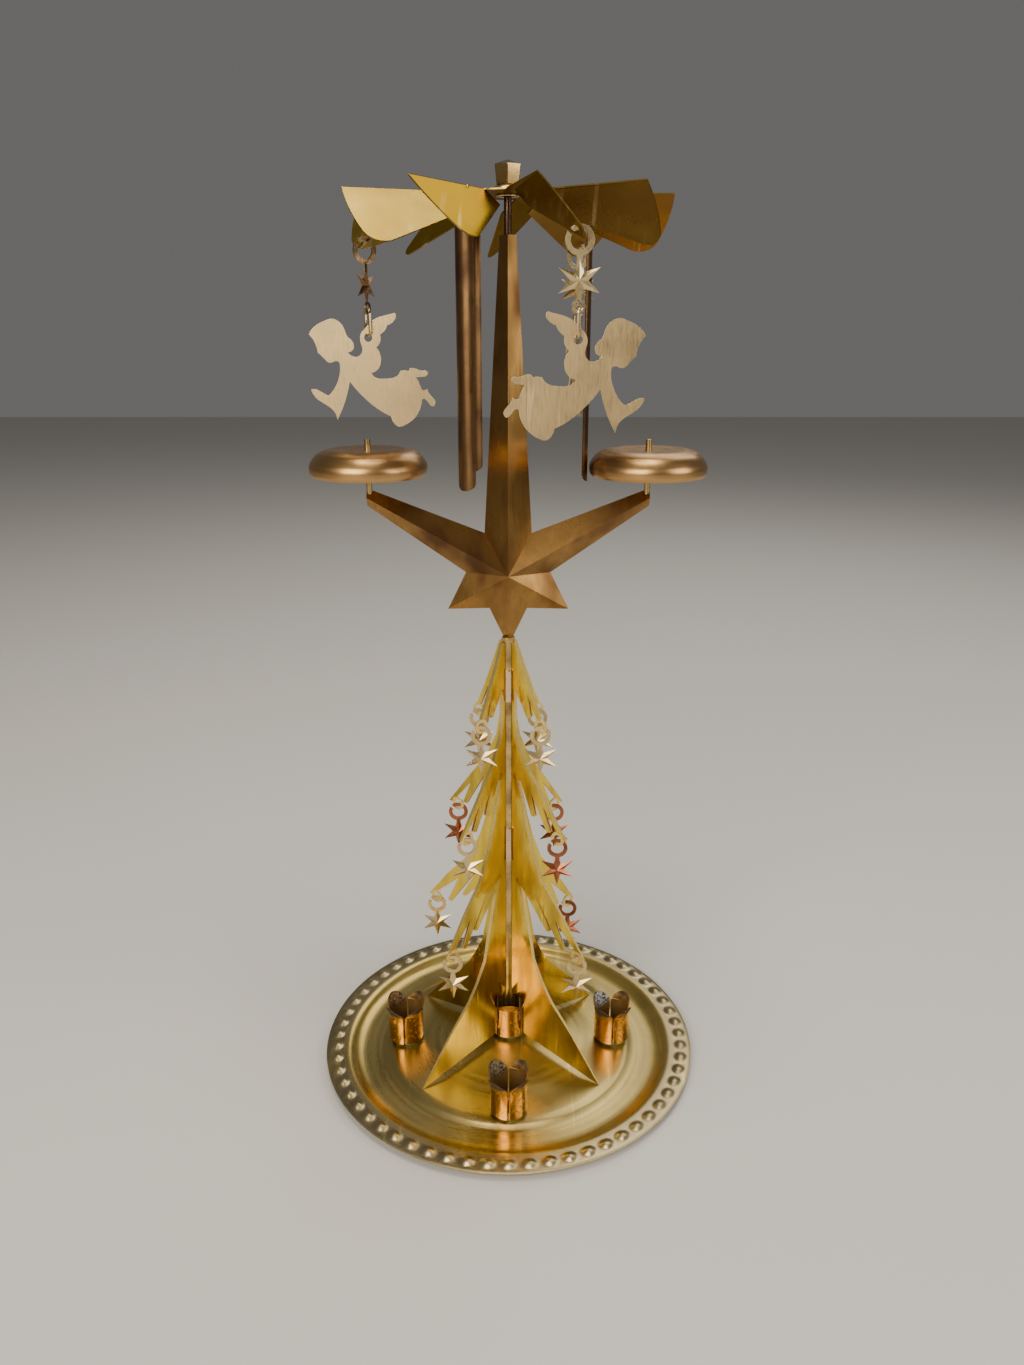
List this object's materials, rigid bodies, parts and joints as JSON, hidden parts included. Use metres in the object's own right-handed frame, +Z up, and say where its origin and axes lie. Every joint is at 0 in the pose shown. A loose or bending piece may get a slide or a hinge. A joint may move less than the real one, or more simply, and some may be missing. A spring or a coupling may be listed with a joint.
{
  "type": "angel chime carousel",
  "caption": "Brass angel chime: candle cups on a beaded plate, a tree-shaped mast, a star frame with bells, and a bladed rotor with strikers and hanging angels",
  "frame": {"origin": "centre of the plate's underside, on the surface that it stands on", "axes": "+Z up along the mast, -Y to the front, +X to the right"},
  "size_m": [0.145, 0.145, 0.3216],
  "materials": {
    "plate_brass": "pale satin brass sheet, polished and lightly scratched",
    "cup_brass": "orange-gold polished brass, sooty at the petals",
    "mast_brass": "polished brass rod",
    "tree_brass": "bright yellow polished brass sheet",
    "frame_bronze": "darkened bronze-brown pressed sheet, satin",
    "bell_bronze": "copper-bronze satin bell metal",
    "rotor_brass": "bright brass sheet, lightly brushed",
    "stamped_brass": "pale brushed brass sheet",
    "copper_tint": "copper-tinted pressed brass",
    "striker_brass": "brown tarnished brass strip",
    "needle_steel": "bright steel rod with a hard point"
  },
  "bodies": {
    "stand": {"plate": "plate_brass", "cup_front": "cup_brass", "cup_right": "cup_brass", "cup_back": "cup_brass", "cup_left": "cup_brass", "centre_socket": "cup_brass", "cup_rivets": "cup_brass", "mast_post": "mast_brass", "tree_fin_1": "tree_brass", "tree_fin_2": "tree_brass", "tree_fin_3": "tree_brass", "tree_fin_4": "tree_brass", "seam_tabs": "tree_brass", "star_front": "frame_bronze", "star_back": "frame_bronze", "needle": "needle_steel", "bell_post_left": "frame_bronze", "bell_post_right": "frame_bronze"},
    "bell_left": {"bell_left": "bell_bronze"},
    "bell_right": {"bell_right": "bell_bronze"},
    "rotor": {"rotor": "rotor_brass", "hub_collar": "rotor_brass", "hub_cap": "rotor_brass", "bearing_cup": "needle_steel"},
    "striker_1": {"striker_1": "striker_brass"},
    "striker_2": {"striker_2": "striker_brass"},
    "striker_3": {"striker_3": "striker_brass"},
    "hanger_star_2": {"hanger_star_2": "stamped_brass"},
    "link_2": {"link_2": "stamped_brass"},
    "angel_2": {"angel_2": "stamped_brass"},
    "hanger_star_3": {"hanger_star_3": "stamped_brass"},
    "link_3": {"link_3": "stamped_brass"},
    "angel_3": {"angel_3": "stamped_brass"},
    "hanger_star_1": {"hanger_star_1": "stamped_brass"},
    "link_1": {"link_1": "stamped_brass"},
    "angel_1": {"angel_1": "stamped_brass"},
    "tree_star_01": {"tree_star_01": "stamped_brass"},
    "tree_star_02": {"tree_star_02": "copper_tint"},
    "tree_star_03": {"tree_star_03": "stamped_brass"},
    "tree_star_04": {"tree_star_04": "stamped_brass"},
    "tree_star_05": {"tree_star_05": "stamped_brass"},
    "tree_star_06": {"tree_star_06": "stamped_brass"},
    "tree_star_07": {"tree_star_07": "stamped_brass"},
    "tree_star_08": {"tree_star_08": "copper_tint"},
    "tree_star_09": {"tree_star_09": "stamped_brass"},
    "tree_star_10": {"tree_star_10": "stamped_brass"},
    "tree_star_11": {"tree_star_11": "copper_tint"},
    "tree_star_12": {"tree_star_12": "copper_tint"}
  },
  "joints": [
    {"name": "bell_left_spin", "type": "hinge", "parent": "stand", "child": "bell_left", "pos_m": [-0.0464, 0, 0.2356], "axis": [0, 0, 1], "continuous": true},
    {"name": "bell_right_spin", "type": "hinge", "parent": "stand", "child": "bell_right", "pos_m": [0.0464, 0, 0.2356], "axis": [0, 0, 1], "continuous": true},
    {"name": "rotor_spin", "type": "hinge", "parent": "stand", "child": "rotor", "pos_m": [0, 0, 0.3185], "axis": [0, 0, 1], "continuous": true},
    {"name": "striker_1_swing", "type": "hinge", "parent": "rotor", "child": "striker_1", "pos_m": [-0.01318, -0.02194, 0.30325], "axis": [0.8572, -0.515, 0], "range_deg": [0, 10]},
    {"name": "striker_2_swing", "type": "hinge", "parent": "rotor", "child": "striker_2", "pos_m": [0.02559, -0.00045, 0.30325], "axis": [0.0175, 0.9998, 0], "range_deg": [0, 10]},
    {"name": "striker_3_swing", "type": "hinge", "parent": "rotor", "child": "striker_3", "pos_m": [-0.01241, 0.02238, 0.30325], "axis": [-0.8746, -0.4848, 0], "range_deg": [0, 10]},
    {"name": "hanger_star_2_swing", "type": "hinge", "parent": "rotor", "child": "hanger_star_2", "pos_m": [0.01999, -0.03993, 0.2985], "axis": [0, -1, 0], "range_deg": [-6, 6]},
    {"name": "link_2_swing", "type": "hinge", "parent": "hanger_star_2", "child": "link_2", "pos_m": [0.01999, -0.03993, 0.27805], "axis": [1, 0, 0], "range_deg": [-6, 6]},
    {"name": "angel_2_swing", "type": "hinge", "parent": "link_2", "child": "angel_2", "pos_m": [0.01999, -0.03993, 0.27155], "axis": [0, -1, 0], "range_deg": [-8, 8]},
    {"name": "hanger_star_3_swing", "type": "hinge", "parent": "rotor", "child": "hanger_star_3", "pos_m": [0.02411, 0.03683, 0.29855], "axis": [-0.4226, -0.9063, 0], "range_deg": [-6, 6]},
    {"name": "link_3_swing", "type": "hinge", "parent": "hanger_star_3", "child": "link_3", "pos_m": [0.02411, 0.03683, 0.2781], "axis": [0.7934, 0.6088, 0], "range_deg": [-6, 6]},
    {"name": "angel_3_swing", "type": "hinge", "parent": "link_3", "child": "angel_3", "pos_m": [0.02411, 0.03683, 0.2716], "axis": [0.9659, -0.2588, 0], "range_deg": [-8, 8]},
    {"name": "hanger_star_1_swing", "type": "hinge", "parent": "rotor", "child": "hanger_star_1", "pos_m": [-0.04494, 0.00288, 0.29858], "axis": [0.6157, -0.788, 0], "range_deg": [-6, 6]},
    {"name": "link_1_swing", "type": "hinge", "parent": "hanger_star_1", "child": "link_1", "pos_m": [-0.04494, 0.00288, 0.27813], "axis": [0.8241, 0.5664, 0], "range_deg": [-6, 6]},
    {"name": "angel_1_swing", "type": "hinge", "parent": "link_1", "child": "angel_1", "pos_m": [-0.04494, 0.00288, 0.27163], "axis": [0, -1, 0], "range_deg": [-8, 8]},
    {"name": "tree_star_01_swing", "type": "hinge", "parent": "stand", "child": "tree_star_01", "pos_m": [0.01135, -0.00919, 0.139], "axis": [0, -1, 0], "range_deg": [-6, 6]},
    {"name": "tree_star_02_swing", "type": "hinge", "parent": "stand", "child": "tree_star_02", "pos_m": [0.01772, -0.01435, 0.0974], "axis": [0, -1, 0], "range_deg": [-6, 6]},
    {"name": "tree_star_03_swing", "type": "hinge", "parent": "stand", "child": "tree_star_03", "pos_m": [0.02533, -0.02052, 0.0516], "axis": [0, -1, 0], "range_deg": [-6, 6]},
    {"name": "tree_star_04_swing", "type": "hinge", "parent": "stand", "child": "tree_star_04", "pos_m": [-0.0096, -0.00895, 0.139], "axis": [0, -1, 0], "range_deg": [-6, 6]},
    {"name": "tree_star_05_swing", "type": "hinge", "parent": "stand", "child": "tree_star_05", "pos_m": [-0.01488, -0.01388, 0.0974], "axis": [0, -1, 0], "range_deg": [-6, 6]},
    {"name": "tree_star_06_swing", "type": "hinge", "parent": "stand", "child": "tree_star_06", "pos_m": [-0.02074, -0.01934, 0.0516], "axis": [0, -1, 0], "range_deg": [-6, 6]},
    {"name": "tree_star_07_swing", "type": "hinge", "parent": "stand", "child": "tree_star_07", "pos_m": [-0.01083, 0.00846, 0.139], "axis": [0, -1, 0], "range_deg": [-6, 6]},
    {"name": "tree_star_08_swing", "type": "hinge", "parent": "stand", "child": "tree_star_08", "pos_m": [-0.01958, 0.0153, 0.0974], "axis": [0, -1, 0], "range_deg": [-6, 6]},
    {"name": "tree_star_09_swing", "type": "hinge", "parent": "stand", "child": "tree_star_09", "pos_m": [-0.0295, 0.02305, 0.0516], "axis": [0, -1, 0], "range_deg": [-6, 6]},
    {"name": "tree_star_10_swing", "type": "hinge", "parent": "stand", "child": "tree_star_10", "pos_m": [0.01068, 0.00865, 0.139], "axis": [0, -1, 0], "range_deg": [-6, 6]},
    {"name": "tree_star_11_swing", "type": "hinge", "parent": "stand", "child": "tree_star_11", "pos_m": [0.01772, 0.01435, 0.0974], "axis": [0, -1, 0], "range_deg": [-6, 6]},
    {"name": "tree_star_12_swing", "type": "hinge", "parent": "stand", "child": "tree_star_12", "pos_m": [0.02392, 0.01937, 0.0516], "axis": [0, -1, 0], "range_deg": [-6, 6]}
  ]
}
